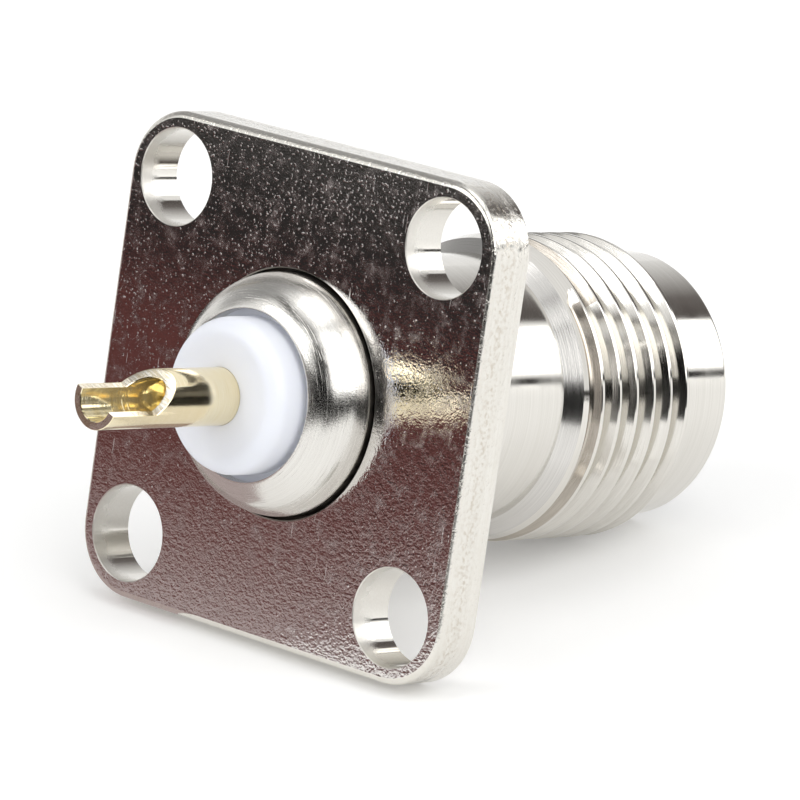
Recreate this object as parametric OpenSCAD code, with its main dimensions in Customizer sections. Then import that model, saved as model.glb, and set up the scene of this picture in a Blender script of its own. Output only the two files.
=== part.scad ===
// Panel receptacle of a threaded coaxial connector, with a square flange and a solder cup.
// The axis runs along Y: the mating end points to +Y and the solder cup to -Y.
// The origin is on the axis, in the flange's rear face, which bears on the panel.

/* [Flange plate] */
// Side of the square plate
flange_w = 17.3; // [16.8:0.1:20]
// Thickness of the plate
flange_t = 1.8; // [1.2:0.1:2.6]
// Radius of the plate's four corners
flange_corner_r = 2.4; // [1.5:0.1:3.5]
// Radius that stamping leaves along the rear edge
flange_edge_r = 0.24; // [0.1:0.02:0.5]
// Distance from the middle of each screw hole to the plate's edges
hole_inset = 2.3; // [2.2:0.05:3]
// Diameter of the screw holes
hole_d = 3.4; // [2.6:0.1:3.5]
// Bevel at the rear of each screw hole
hole_bevel = 0.06; // [0.05:0.01:0.2]
// Width of the open ring between the plate and the boss
relief_w = 0.12; // [0.06:0.01:0.25]
// Depth of that ring
relief_depth = 0.4; // [0.2:0.05:0.8]
// Bevel around that ring
relief_bevel = 0.08; // [0.04:0.01:0.15]

/* [Body] */
// Diameter of the plain neck in front of the flange
neck_d = 9.6; // [9.2:0.1:10]
// Length of the neck
neck_len = 7.4; // [5:0.1:10]
// Outside diameter of the coupling thread
thread_d = 10.95; // [10.6:0.05:11.2]
// Length of the threaded part with the cones at both its ends
thread_len = 6.35; // [5:0.05:8]
// Length of the cone that rises from the neck to the thread
thread_rise = 0.66; // [0.3:0.02:0.8]
// Length of the cone that falls from the thread to the nose
thread_fall = 0.36; // [0.2:0.02:0.8]
// Diameter of the plain nose
nose_d = 9.6; // [9.4:0.05:9.9]
// Length of the nose
nose_len = 2.6; // [2:0.1:4]
// Bevel around the nose's rim
nose_bevel = 0.15; // [0.05:0.05:0.25]
// Diameter of the boss that passes through the plate
boss_d = 8.4; // [8.2:0.05:8.8]
// How far the boss stands out behind the plate
boss_len = 1.87; // [1.8:0.01:2.6]
// Radius of the boss's rolled rear edge
boss_round = 1.9; // [1.3:0.05:1.95]

/* [Mating face] */
// Diameter of the mouth
mouth_d = 8.13; // [8:0.01:8.3]
// Depth from the rim to the shoulder that a plug butts on
mouth_depth = 8.4; // [7.5:0.1:9]
// Bevel at the mouth's rim
mouth_bevel = 0.2; // [0.05:0.05:0.3]
// Bore of the inner rib that the front insulator passes through
rib_d = 5.8; // [5.4:0.05:6.2]
// Thickness of the rib along the axis
rib_len = 1.25; // [0.8:0.05:2]

/* [Insulators] */
// Bore of the body that holds both insulators
seat_d = 6.8; // [6.6:0.05:7]
// Room between the rear insulator and the rolled lip around it
lip_gap = 0.27; // [0.1:0.01:0.4]
// Width of the lip's flat end
lip_flat = 0.03; // [0.02:0.01:0.1]
// Thickness of the lip along the axis, at the corner of the bore that holds the insulators
lip_t = 0.28; // [0.15:0.01:0.5]
// Length of the rear insulator's wide part
rear_seat_len = 3.4; // [2.5:0.1:4.5]
// Diameter of the rear insulator where it stands out
spigot_d = 5.4; // [5:0.05:5.5]
// How far it stands out behind the lip
spigot_reach = 1.23; // [0.8:0.01:1.8]
// Radius of its rear edge
spigot_edge_r = 0.65; // [0.2:0.05:0.75]
// Diameter of the sleeve around the socket
sleeve_d = 4.84; // [4.7:0.02:5]
// Length of the sleeve in front of the shoulder
sleeve_len = 5; // [4.6:0.05:5.4]
// Bevel around the sleeve's front edge
sleeve_bevel = 0.15; // [0.05:0.05:0.3]
// Room around the socket's fingers inside the sleeve
finger_room = 0.14; // [0.08:0.02:0.2]

/* [Centre contact] */
// Diameter of the solder cup and of the shank behind the collar
shank_d = 2; // [1.8:0.05:2.2]
// Length of the cup and shank that show behind the insulator
cup_reach = 5.88; // [5.2:0.02:7]
// Bore of the solder cup
cup_bore_d = 1.42; // [1.2:0.02:1.5]
// Point angle of the drill that leaves a cone at the end of each bore
drill_angle = 118; // [90:1:140]
// Depth of the solder cup's bore
cup_bore_len = 4.4; // [3.8:0.1:5]
// Length of the cup that is cut away to its middle
cup_open_len = 2.05; // [1.5:0.05:2.6]
// Slope of the cut's end from the axis
cup_slope = 45; // [35:1:60]
// Direction that the cup opens to, turned up from +X
cup_turn = 68.6; // [0:0.1:180]
// Diameter of the collar that both insulators trap
collar_d = 3; // [2.6:0.1:3.6]
// Length of the collar
collar_len = 1; // [0.6:0.1:1.6]
// Diameter of the socket
socket_d = 2.1; // [2:0.02:2.2]
// Bore of the socket
socket_bore_d = 1.36; // [1.3:0.02:1.4]
// Depth of the socket's bore
socket_bore_len = 4.6; // [4.2:0.1:5.2]
// Length of the slots that part the socket's fingers
slot_len = 3.6; // [2.8:0.1:4]
// Width of those slots
slot_w = 0.25; // [0.15:0.01:0.35]
// How far the socket sits back from the sleeve's face
socket_recess = 0.06; // [0:0.02:0.2]

/* [Fits] */
// Gap on the radius between pieces that are pressed together
press_gap = 0.02; // [0.01:0.01:0.04]

/* [Hidden] */
$fn = 96;
past = 1;

neck_end = flange_t + neck_len;
thread_end = neck_end + thread_len;
nose_end = thread_end + nose_len;
shoulder = nose_end - mouth_depth;
rib_back = shoulder - rib_len;
boss_end = -boss_len;
spigot_end = boss_end - spigot_reach;
sleeve_end = shoulder + sleeve_len;
socket_end = sleeve_end - socket_recess;
finger_root = socket_end - slot_len;
cup_end = spigot_end - cup_reach;
cup_slope_start = cup_end + cup_open_len;

hole_at = flange_w / 2 - hole_inset;
corner_at = flange_w / 2 - flange_corner_r;
// The plate's rear edge is an arc a little wider than a quarter, so it meets both faces at an angle
edge_arc = 1.25;

boss_r = boss_d / 2;
lip_d = spigot_d + 2 * lip_gap;
// Centre of the rolled edge's arc, which starts on the boss and ends at the lip
round_r = boss_r - boss_round;
lip_edge_r = lip_d / 2 + lip_flat;
round_y = boss_end + sqrt(pow(boss_round, 2) - pow(lip_edge_r - round_r, 2));
// The lip's inside keeps its thickness where the bore's corner comes nearest to that arc
seat_arc_y = round_y - sqrt(pow(boss_round, 2) - pow(seat_d / 2 - round_r, 2));
lip_front = seat_arc_y + lip_t;
insulator_split = lip_front + rear_seat_len;
collar_end = insulator_split + collar_len;

// Height of the cone that the drill leaves in a bore
function drill_cone(d) = d / 2 / tan(drill_angle / 2);

// Turns a revolved shape from the Z axis to the Y axis
module along_y() {
    rotate([-90, 0, 0])
        children();
}

// A solid of revolution on the connector's axis, from a section of radius and place
module turned() {
    along_y()
        rotate_extrude()
            children();
}

// A rectangle of a section, from the axis to a radius and between two places
module band(d, from, to) {
    translate([0, from])
        square([d / 2, to - from]);
}

// The boss, with its arc between the straight side and the lip
module boss_section() {
    intersection() {
        band(boss_d, boss_end, neck_end);
        union() {
            band(boss_d, round_y, neck_end);
            translate([round_r, round_y])
                circle(boss_round);
        }
    }
}

// The neck, the thread with a bevel at each end, and the nose
module barrel_section() {
    neck_r = neck_d / 2;
    thread_r = thread_d / 2;
    nose_r = nose_d / 2;
    polygon([
        [0, flange_t],
        [neck_r, flange_t],
        [neck_r, neck_end],
        [thread_r, neck_end + thread_rise],
        [thread_r, thread_end - thread_fall],
        [nose_r, thread_end],
        [nose_r, nose_end - nose_bevel],
        [nose_r - nose_bevel, nose_end],
        [0, nose_end]
    ]);
}

// The hollow inside the body, from the rolled lip to the mouth
module bore_section() {
    mouth_r = mouth_d / 2;
    band(lip_d, boss_end - past, rib_back);
    band(seat_d, lip_front, rib_back);
    band(rib_d, lip_front, nose_end);
    polygon([
        [0, shoulder],
        [mouth_r, shoulder],
        [mouth_r, nose_end - mouth_bevel],
        [mouth_r + mouth_bevel, nose_end],
        [mouth_r + mouth_bevel, nose_end + past],
        [0, nose_end + past]
    ]);
}

// Turned brass body, plated, with its rear edge rolled over the insulator
module body() {
    color([0.80, 0.79, 0.76])
        turned()
            difference() {
                union() {
                    boss_section();
                    barrel_section();
                }
                bore_section();
            }
}

// The square outline of the plate, with round corners
module plate_outline() {
    square([2 * corner_at, flange_w], center = true);
    square([flange_w, 2 * corner_at], center = true);
    for (x = [-corner_at, corner_at], z = [-corner_at, corner_at])
        translate([x, z])
            circle(flange_corner_r);
}

// Section of what the rounding takes off an edge, seen along the edge
module edge_cut_section() {
    arc_r = flange_edge_r * edge_arc;
    // The arc passes through the ends of the rounding on both faces
    sag = (flange_edge_r + sqrt(2 * pow(arc_r, 2) - pow(flange_edge_r, 2))) / 2;
    difference() {
        translate([-sag, -past])
            square(sag + past);
        translate([-sag, sag])
            circle(arc_r);
    }
}

// What the rounding takes off the plate's rear edge, all the way around
module edge_cut() {
    for (turn = [0 : 90 : 270])
        rotate([0, 0, turn]) {
            translate([flange_w / 2, corner_at, 0])
                rotate([90, 0, 0])
                    linear_extrude(2 * corner_at)
                        edge_cut_section();
            translate([corner_at, corner_at, 0])
                rotate_extrude(angle = 90)
                    intersection() {
                        translate([flange_corner_r, 0])
                            edge_cut_section();
                        translate([0, -past])
                            square([flange_corner_r + past, 2 * past + flange_edge_r]);
                    }
        }
}

// A screw hole with its bevelled rear edge
module screw_hole() {
    hole_r = hole_d / 2;
    rotate_extrude()
        polygon([
            [0, -past],
            [hole_r + hole_bevel, -past],
            [hole_r + hole_bevel, 0],
            [hole_r, hole_bevel],
            [hole_r, flange_t + past],
            [0, flange_t + past]
        ]);
}

// The hole that the boss is pressed into, open at the rear by the relief ring
module boss_hole() {
    seat_r = boss_r + press_gap;
    ring_r = boss_r + relief_w;
    rotate_extrude()
        polygon([
            [0, -past],
            [ring_r + relief_bevel, -past],
            [ring_r + relief_bevel, 0],
            [ring_r, relief_bevel],
            [ring_r, relief_depth],
            [seat_r, relief_depth],
            [seat_r, flange_t + past],
            [0, flange_t + past]
        ]);
}

// Stamped brass plate, plated, pressed on the body against the neck
module flange_plate() {
    color([0.72, 0.69, 0.66])
        along_y()
            difference() {
                linear_extrude(flange_t)
                    plate_outline();
                edge_cut();
                boss_hole();
                for (x = [-hole_at, hole_at], z = [-hole_at, hole_at])
                    translate([x, z, 0])
                        screw_hole();
            }
}

// The spigot that stands out of the lip, with its rounded rear edge
module spigot_section() {
    spigot_r = spigot_d / 2;
    band(spigot_d, spigot_end + spigot_edge_r, lip_front);
    band(spigot_d - 2 * spigot_edge_r, spigot_end, lip_front);
    translate([spigot_r - spigot_edge_r, spigot_end + spigot_edge_r])
        circle(spigot_edge_r);
}

// White insulator behind the contact's collar, held in by the rolled lip
module rear_insulator() {
    color([0.93, 0.95, 0.98])
        turned()
            difference() {
                union() {
                    spigot_section();
                    band(seat_d - 2 * press_gap, lip_front, insulator_split);
                }
                band(shank_d + 2 * press_gap, spigot_end - past, insulator_split + past);
            }
}

// White insulator in front of the collar, with the sleeve that a plug slides over
module front_insulator() {
    sleeve_r = sleeve_d / 2;
    color([0.93, 0.95, 0.98])
        turned()
            difference() {
                union() {
                    band(seat_d - 2 * press_gap, insulator_split, rib_back);
                    band(rib_d - 2 * press_gap, insulator_split, shoulder);
                    polygon([
                        [0, insulator_split],
                        [sleeve_r, insulator_split],
                        [sleeve_r, sleeve_end - sleeve_bevel],
                        [sleeve_r - sleeve_bevel, sleeve_end],
                        [0, sleeve_end]
                    ]);
                }
                band(collar_d + 2 * press_gap, insulator_split - past, collar_end);
                band(socket_d + 2 * press_gap, collar_end - past, sleeve_end + past);
                band(socket_d + 2 * finger_room, finger_root, sleeve_end + past);
            }
}

// The contact before its cup is cut and its socket is slotted
module contact_blank() {
    rim = (socket_d - socket_bore_d) / 4;
    turned()
        difference() {
            union() {
                band(shank_d, cup_end, insulator_split + past / 2);
                band(collar_d, insulator_split, collar_end);
                polygon([
                    [0, collar_end - past / 2],
                    [socket_d / 2, collar_end - past / 2],
                    [socket_d / 2, socket_end - rim],
                    [socket_d / 2 - rim, socket_end],
                    [0, socket_end]
                ]);
            }
            // Cup's bore, with the cone that the drill leaves
            polygon([
                [0, cup_end - past],
                [cup_bore_d / 2, cup_end - past],
                [cup_bore_d / 2, cup_end + cup_bore_len],
                [0, cup_end + cup_bore_len + drill_cone(cup_bore_d)]
            ]);
            // Socket's bore, with a lead-in for the pin
            polygon([
                [0, socket_end - socket_bore_len - drill_cone(socket_bore_d)],
                [socket_bore_d / 2, socket_end - socket_bore_len],
                [socket_bore_d / 2, socket_end - rim],
                [socket_bore_d / 2 + rim, socket_end],
                [socket_bore_d / 2 + rim, socket_end + past],
                [0, socket_end + past]
            ]);
        }
}

// What is milled off the cup: half of it at the end, then a slope up to its outside
module cup_cut() {
    height = shank_d;
    rise = height / tan(cup_slope);
    rotate([0, -cup_turn, 0])
        linear_extrude(2 * shank_d, center = true)
            polygon([
                [0, cup_end - past],
                [0, cup_slope_start],
                [height, cup_slope_start + rise],
                [height, cup_end - past]
            ]);
}

// Crossed slots that part the socket into spring fingers
module finger_slots() {
    for (turn = [45, 135])
        rotate([0, turn, 0])
            translate([-socket_d, finger_root, -slot_w / 2])
                cube([2 * socket_d, slot_len + past, slot_w]);
}

// Turned and gold plated contact: solder cup behind, slotted socket in front
module centre_contact() {
    color([0.90, 0.82, 0.60])
        difference() {
            contact_blank();
            cup_cut();
            finger_slots();
        }
}

body();
flange_plate();
rear_insulator();
front_insulator();
centre_contact();
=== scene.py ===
# %% [markdown]
# # A square-flange coaxial connector
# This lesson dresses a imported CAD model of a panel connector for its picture. The real one has five
# pieces: a turned body with a coupling thread, a stamped plate that is pressed on it, two white
# insulators inside the body, and a gold plated contact with a solder cup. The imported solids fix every
# size and place. Here each piece is made again with a finer surface, because polished metal shows every
# facet, and then gets its own finish.

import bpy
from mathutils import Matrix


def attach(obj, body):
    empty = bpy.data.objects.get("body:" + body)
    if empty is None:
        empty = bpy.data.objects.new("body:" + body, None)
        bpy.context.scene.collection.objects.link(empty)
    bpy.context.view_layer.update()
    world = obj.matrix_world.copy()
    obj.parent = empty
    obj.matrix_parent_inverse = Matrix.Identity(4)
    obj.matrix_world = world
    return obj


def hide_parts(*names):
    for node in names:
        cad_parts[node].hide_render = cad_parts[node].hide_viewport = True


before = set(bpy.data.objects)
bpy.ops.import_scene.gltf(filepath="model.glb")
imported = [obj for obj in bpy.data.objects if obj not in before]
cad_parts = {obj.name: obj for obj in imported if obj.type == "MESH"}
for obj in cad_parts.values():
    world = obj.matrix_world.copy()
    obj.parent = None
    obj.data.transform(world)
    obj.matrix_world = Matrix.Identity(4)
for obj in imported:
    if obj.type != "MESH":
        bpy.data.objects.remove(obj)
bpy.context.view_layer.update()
print("packed nodes:", sorted(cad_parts))

# %% [markdown]
# ## Working in millimetres
# Blender counts in metres here, and a connector is made in millimetres, so the lesson writes millimetres
# and one helper turns them into metres. The connector's axis is the Y axis: the cup points to -Y, the
# mouth to +Y.

# %% Modules and the unit
import math
import random

import bmesh
import bpy
from mathutils import Matrix, Vector

MM = 0.001


def at(x, y, z):
    """A point given in millimetres, in metres."""
    return Vector((x, y, z)) * MM


scene = bpy.context.scene
scene.view_settings.view_transform = "Standard"
print("unit:", MM, "m")

# %% [markdown]
# ## From a list of faces to a piece
# Every piece is a bmesh that is joined where its columns meet, turned right side out and shaded smooth.
# Edges sharper than a set angle stay crisp, as a lathe leaves them. Faces that are truly flat are shaded
# flat, so that a mirror stays a mirror up to its edge.

# %% Close a mesh and hand it to the frame
CRISP = 32
JOIN, SLIVER = 2e-7, 1e-7


def settle(name, bm, node, crisp=CRISP, flats=()):
    """Makes a piece of a bmesh, hangs it under the root and hides the CAD node that it stands for."""
    for face in bm.faces:
        face.smooth = True
    for face in flats:
        face.smooth = False
    bmesh.ops.remove_doubles(bm, verts=bm.verts, dist=JOIN)
    bmesh.ops.dissolve_degenerate(bm, dist=SLIVER, edges=bm.edges)
    bmesh.ops.recalc_face_normals(bm, faces=bm.faces)
    for edge in bm.edges:
        edge.smooth = edge.is_manifold and edge.calc_face_angle() < math.radians(crisp)
    mesh = bpy.data.meshes.new(name)
    bm.to_mesh(mesh)
    bm.free()
    piece = bpy.data.objects.new(name, mesh)
    scene.collection.objects.link(piece)
    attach(piece, "root")
    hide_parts(node)
    print(name, "has", len(mesh.polygons), "faces and stands for", node)
    return piece


print("edges stay crisp from", CRISP, "degrees")

# %% [markdown]
# ## Turning
# Most of a connector is turned on a lathe: one section, swept about the axis. A Screw modifier could do
# that, but a section that is swept by hand can also change from column to column, and the thread and the
# solder cup need that. So a piece is a list of columns, and each column is a list of (place along the
# axis, radius) points. The first helper joins neighbouring columns with faces.

# %% Sweep columns about the axis


def sweep(columns, angles, close_section):
    """A bmesh from columns of (y, r) points in millimetres, one column at each angle."""
    bm = bmesh.new()
    rows = []
    for column, angle in zip(columns, angles):
        c, s = math.cos(angle), math.sin(angle)
        rows.append([bm.verts.new(at(r * c, y, r * s)) for y, r in column])
    count = len(rows[0])
    for here, there in zip(rows, rows[1:]):
        for j in range(count if close_section else count - 1):
            k = (j + 1) % count
            bm.faces.new((here[j], here[k], there[k], there[j]))
    return bm


def even_turn(steps):
    """Angles of a whole turn, with the first one again at the end."""
    return [2 * math.pi * i / steps for i in range(steps + 1)]


print("a turn in 4 steps, in degrees:", [round(math.degrees(a)) for a in even_turn(4)])

# %% [markdown]
# ## Soft corners
# No turned edge is perfectly sharp, and the small arc on it catches the light. The first helper puts an
# arc on each corner of a section. The second adds points beside it, so that smooth shading bends only
# there.

# %% Ease and brace a section


def eased(corners, steps):
    """A closed section of (y, r, ease) corners, each eased by an arc of its own small radius."""
    section = []
    for i, (y, r, ease) in enumerate(corners):
        here = Vector((y, r))
        before = Vector(corners[i - 1][:2]) - here
        after = Vector(corners[(i + 1) % len(corners)][:2]) - here
        if ease == 0:
            section.append((y, r))
            continue
        half = before.angle(after) / 2
        back = ease / math.tan(half)
        middle = here + (before.normalized() + after.normalized()).normalized() * ease / math.sin(half)
        start = here + before.normalized() * back - middle
        end = here + after.normalized() * back - middle
        swing = start.angle_signed(end)
        for step in range(steps + 1):
            spoke = start.copy()
            spoke.rotate(Matrix.Rotation(-swing * step / steps, 2))
            section.append(tuple(middle + spoke))
    return section


def braced(section, hold=0.03, reach=0.25):
    """Adds a point near both ends of each stretch that is longer than a reach."""
    held = [section[0]]
    for (y, r), (to_y, to_r) in zip(section, section[1:]):
        length = math.hypot(to_y - y, to_r - r)
        for share in (hold / length, 1 - hold / length) if length > reach else ():
            held.append((y + (to_y - y) * share, r + (to_r - r) * share))
        held.append((to_y, to_r))
    return held


print("a stretch of 1 mm with its braces:", braced([(0, 1), (1, 1)]))

# %% [markdown]
# ## The coupling thread
# The thread is a right-handed unified one of about 28 threads to the inch. Its groove is a 60 degree V
# with a small flat root, and at the back it stops short of the bevel in a shallower run-out, where the
# tool was drawn away along the front flank. A bump map would leave the outline smooth, so the groove is
# real: in each column the section's points sit where the helix has its crest, flank and root at that
# angle. Points past the ends of the thread are pressed on its ends and merge away. A bevel and a gentle
# cone lead from the neck to the full thread.

# %% Sizes of the turned body
NECK_R, NECK_START, NECK_END = 4.8, 1.8, 9.2
THREAD_R, THREAD_END, BEVEL = 5.475, 15.55, 0.3
CONE_START, CONE_R, CONE_SLOPE = 9.70, 5.30, 0.233
NOSE_R, NOSE_END = 4.8, 18.15
PITCH, GROOVE, CREST = 0.916, 0.5, 0.15
FLANK_LEAN = math.radians(30)
CREST_EASE, ROOT_EASE = 0.025, 0.045
RUN_OUT_TURN = math.radians(45.5)
RUN_OUT_DEPTH, RUN_OUT_RAMP, LEAST_DEPTH = 0.34, 0.02, 0.001
FIRST_GROOVE = 10.02
GROOVE_TURNS = range(-2, 9)
print("turns of thread:", round((THREAD_END - NECK_END) / PITCH, 1))

# %% The groove's section


def groove_points(turns):
    """Points (offset, depth) over one pitch, so many turns after the groove's start."""
    done = min(1, max(0, turns))
    start = min(1, max(0, 1 + turns / RUN_OUT_RAMP))
    sunk = done * done * (3 - 2 * done)
    depth = max(LEAST_DEPTH, start * (RUN_OUT_DEPTH + (GROOVE - RUN_OUT_DEPTH) * sunk))
    slope = math.tan(FLANK_LEAN)
    full = (PITCH - CREST) / 2
    root = full - GROOVE * slope
    top = root + depth * slope
    eases = (CREST_EASE, ROOT_EASE)
    crest_drop, root_rise = (min(depth / 3, ease * math.cos(FLANK_LEAN)) for ease in eases)
    half = [(top + CREST_EASE, 0), (top - crest_drop * slope, crest_drop)]
    half += [(root + root_rise * slope, depth - root_rise), (root - ROOT_EASE, depth)]
    groove = [(-offset, d) for offset, d in half] + [(0, depth)] + half[::-1]
    return [(-PITCH / 2, 0)] + [(full - top + offset, d) for offset, d in groove]


def thread_column(share):
    """The thread's points at one angle; share counts the turn from the groove's end, 0 to 1."""
    column = []
    for turn in GROOVE_TURNS:
        for offset, depth in groove_points(turn + share):
            y = FIRST_GROOVE + (turn + share) * PITCH + offset
            y = min(THREAD_END, max(CONE_START, y))
            cone = CONE_R + (y - CONE_START) * CONE_SLOPE
            column.append((y, min(THREAD_R - depth, cone, THREAD_R - BEVEL + (THREAD_END - y))))
    return column


POINTS_A_TURN = len(groove_points(1))
print("points across one groove:", POINTS_A_TURN)

# %% [markdown]
# ## The body's section
# Behind the plate the body ends in a boss whose edge was rolled over the insulator, a rounding of 1.9 mm
# that runs out in a thin lip. In front are the neck, the thread and the nose; inside are the mouth, the
# rib that stops the insulator and the seat that holds it.

# %% Points behind and in front of the thread
BOSS_R, BOSS_END = 4.2, -1.87
ROLL, ROLL_AT = 1.9, (-0.104, 2.3)
LIP_R, LIP_FRONT, LIP_EASE = 2.97, -1.373, 0.03
SHOULDER_EASE = 0.05
SEAT_R, RIB_BACK, RIB_R = 3.4, 8.5, 2.9
MOUTH_R, MOUTH_FLOOR, MOUTH_EDGE_R, MOUTH_EDGE = 4.065, 9.75, 4.2, 0.2


def rolled_edge(steps=30):
    """The arc from the lip to the straight side of the boss."""
    lowest = math.atan2(BOSS_END - ROLL_AT[0], LIP_R + LIP_EASE - ROLL_AT[1])
    swing = [lowest * (1 - i / steps) for i in range(steps + 1)]
    return [(ROLL_AT[0] + ROLL * math.sin(a), ROLL_AT[1] + ROLL * math.cos(a)) for a in swing]


def lead_in():
    """From the lip over the boss and the neck to the thread."""
    boss = [(BOSS_END, LIP_R)] + rolled_edge() + [(NECK_START, BOSS_R)]
    shoulder = [(NECK_START, NECK_R - SHOULDER_EASE), (NECK_START + SHOULDER_EASE, NECK_R)]
    return braced(boss + shoulder + [(NECK_END, NECK_R), (CONE_START, CONE_R)])[:-1]


def lead_out():
    """From the thread over the nose, into the mouth and back to the lip."""
    nose = [(THREAD_END, NOSE_R, 0), (NOSE_END, NOSE_R, 0.16), (NOSE_END, MOUTH_EDGE_R, 0.09)]
    mouth = [(NOSE_END - MOUTH_EDGE, MOUTH_R, 0.05), (MOUTH_FLOOR, MOUTH_R, 0.05)]
    rib = [(MOUTH_FLOOR, RIB_R, 0.05), (RIB_BACK, RIB_R, 0.03)]
    seat = [(RIB_BACK, SEAT_R, 0), (LIP_FRONT, SEAT_R, 0)]
    lip = [(LIP_FRONT, LIP_R, LIP_EASE), (BOSS_END, LIP_R, 0)]
    return braced(eased(nose + mouth + rib + seat + lip, 6))[:-1]


print("points from lip to thread:", len(lead_in()), "and from thread to lip:", len(lead_out()))

# %% [markdown]
# ## One turn of the body
# The columns go round clockwise as seen from behind, because the thread is right-handed. After a whole
# turn each groove has moved on by one pitch. So the last column is the first one, with its points counted
# one groove later, and the two merge.

# %% Turn the body with its thread
BODY_STEPS, BODY_CRISP = 320, 24
columns = [lead_in() + thread_column(i / BODY_STEPS) + lead_out() for i in range(BODY_STEPS)]
moved_on = thread_column(0)[POINTS_A_TURN:] + [(THREAD_END, THREAD_R - BEVEL)] * POINTS_A_TURN
columns.append(lead_in() + moved_on + lead_out())
body_bm = sweep(columns, [RUN_OUT_TURN - a for a in even_turn(BODY_STEPS)], True)
body = settle("threaded_body", body_bm, "body", BODY_CRISP)

# %% [markdown]
# ## The stamped plate
# A press cut the plate from sheet: the punch side is pulled round at the edge, the wall below is smooth
# where the punch burnished it and torn where the sheet broke away. The plate is made of loops: one
# outline and five holes at several depths, bridged into walls, with the flat faces filled between them.

# %% Loops of the plate
PLATE_HALF, PLATE_T, CORNER_R = 8.65, 1.8, 2.4


def outline(inset, steps=20, side_steps=60):
    """The square outline with round corners, drawn in by an inset."""
    loop = []
    middle = PLATE_HALF - CORNER_R
    centres = [(middle, middle), (-middle, middle), (-middle, -middle), (middle, -middle)]
    for corner, (cx, cz) in enumerate(centres):
        for i in range(steps + 1):
            a = math.radians(90 * corner + 90 * i / steps)
            loop.append((cx + (CORNER_R - inset) * math.cos(a), cz + (CORNER_R - inset) * math.sin(a)))
        # The straight side gets points too, so that its torn part can waver
        x, z = loop[-1]
        next_x, next_z = centres[(corner + 1) % 4]
        for i in range(1, side_steps):
            loop.append((x + (next_x - cx) * i / side_steps, z + (next_z - cz) * i / side_steps))
    return loop


def ring(cx, cz, r, steps):
    """A round loop."""
    return [(cx + r * math.cos(a), cz + r * math.sin(a)) for a in even_turn(steps)[:-1]]


print("points round the plate:", len(outline(0)))

# %% [markdown]
# ## Down the walls
# Each level of a wall says how deep a loop lies and how far it is drawn in. On the rim a third number
# lets the torn part waver, by one random share for each point. The seed is fixed, so each run gives the
# same tear.

# %% Levels of the rim and the holes
EDGE_ARC, EDGE_AT, RIGHT_SPARED = 0.3, 0.295, 0.55
EDGE_FROM, EDGE_SWEEP, EDGE_STEPS = -79.5, 69, 8
HOLE_AT, HOLE_R, HOLE_BEVEL, HOLE_HOLD = 6.35, 1.7, 0.03, 0.1
FAR_BEVEL = 0.04
tear = random.Random(7)
waver = [tear.uniform(0, 1) for _ in range(len(outline(0)))]


def rim_levels():
    """(depth, inset, waver) of the loops down the outer wall."""
    swing = [math.radians(EDGE_FROM + EDGE_SWEEP * i / EDGE_STEPS) for i in range(EDGE_STEPS + 1)]
    pulled = [(EDGE_AT + EDGE_ARC * math.sin(a), EDGE_AT - EDGE_ARC * math.cos(a)) for a in swing]
    pulled = [(max(0, depth), max(0, inset), 0) for depth, inset in pulled]
    smooth = [(0.28, 0, 0), (1.08, 0, 0)]
    torn = [(1.11, 0.004, 0.006), (1.24, 0.004, 0.006), (1.27, 0.001, 0.002), (1.70, 0.002, 0.002)]
    return pulled + smooth + torn + [(PLATE_T - FAR_BEVEL, 0.012, 0.003), (PLATE_T, 0.05, 0.003)]


def hole_levels():
    """(depth, radius) of the loops down a screw hole."""
    behind = [(0, HOLE_R + HOLE_BEVEL), (HOLE_BEVEL, HOLE_R), (HOLE_BEVEL + HOLE_HOLD, HOLE_R)]
    far = PLATE_T - FAR_BEVEL
    return behind + [(far - HOLE_HOLD, HOLE_R), (far, HOLE_R), (PLATE_T, HOLE_R + FAR_BEVEL)]


print("loops down the rim:", len(rim_levels()), "and down a hole:", len(hole_levels()))

# %% Loops into walls and flats


def rim_loop(bm, depth, inset, torn):
    """One loop of the outer wall; the punch pulled the right side round less than the others."""
    loop = []
    for (x, z), (inner_x, inner_z), share in zip(outline(0), outline(1), waver):
        pull = 1 - RIGHT_SPARED * max(0, x - inner_x) ** 2 if depth < EDGE_AT else 1
        back = inset * pull + torn * share
        loop.append(bm.verts.new(at(x + (inner_x - x) * back, depth * pull, z + (inner_z - z) * back)))
    return loop


def round_loops(bm, cx, cz, levels, steps=96):
    """Round loops about one middle, one for each (depth, radius)."""
    return [[bm.verts.new(at(x, depth, z)) for x, z in ring(cx, cz, r, steps)] for depth, r in levels]


def bridge(bm, loops, index):
    """Faces between loops of equal length, which carry a finish number."""
    for here, there in zip(loops, loops[1:]):
        for i in range(len(here)):
            k = (i + 1) % len(here)
            bm.faces.new((here[i], here[k], there[k], there[i])).material_index = index


def flat_fill(bm, loops):
    """Fills the flat face between an outline and its holes."""
    edges = [bm.edges.get((loop[i - 1], loop[i])) for loop in loops for i in range(len(loop))]
    made = bmesh.ops.triangle_fill(bm, edges=edges, use_beauty=True)
    return [g for g in made["geom"] if isinstance(g, bmesh.types.BMFace)]


print("random shares of the tear:", len(waver))

# %% [markdown]
# ## The whole plate
# Round the boss the plate has a narrow relief, which shows as a dark ring in the photo. Each wall carries
# a finish number, because the cut edge, the holes and that gap look different from the flat.

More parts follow.
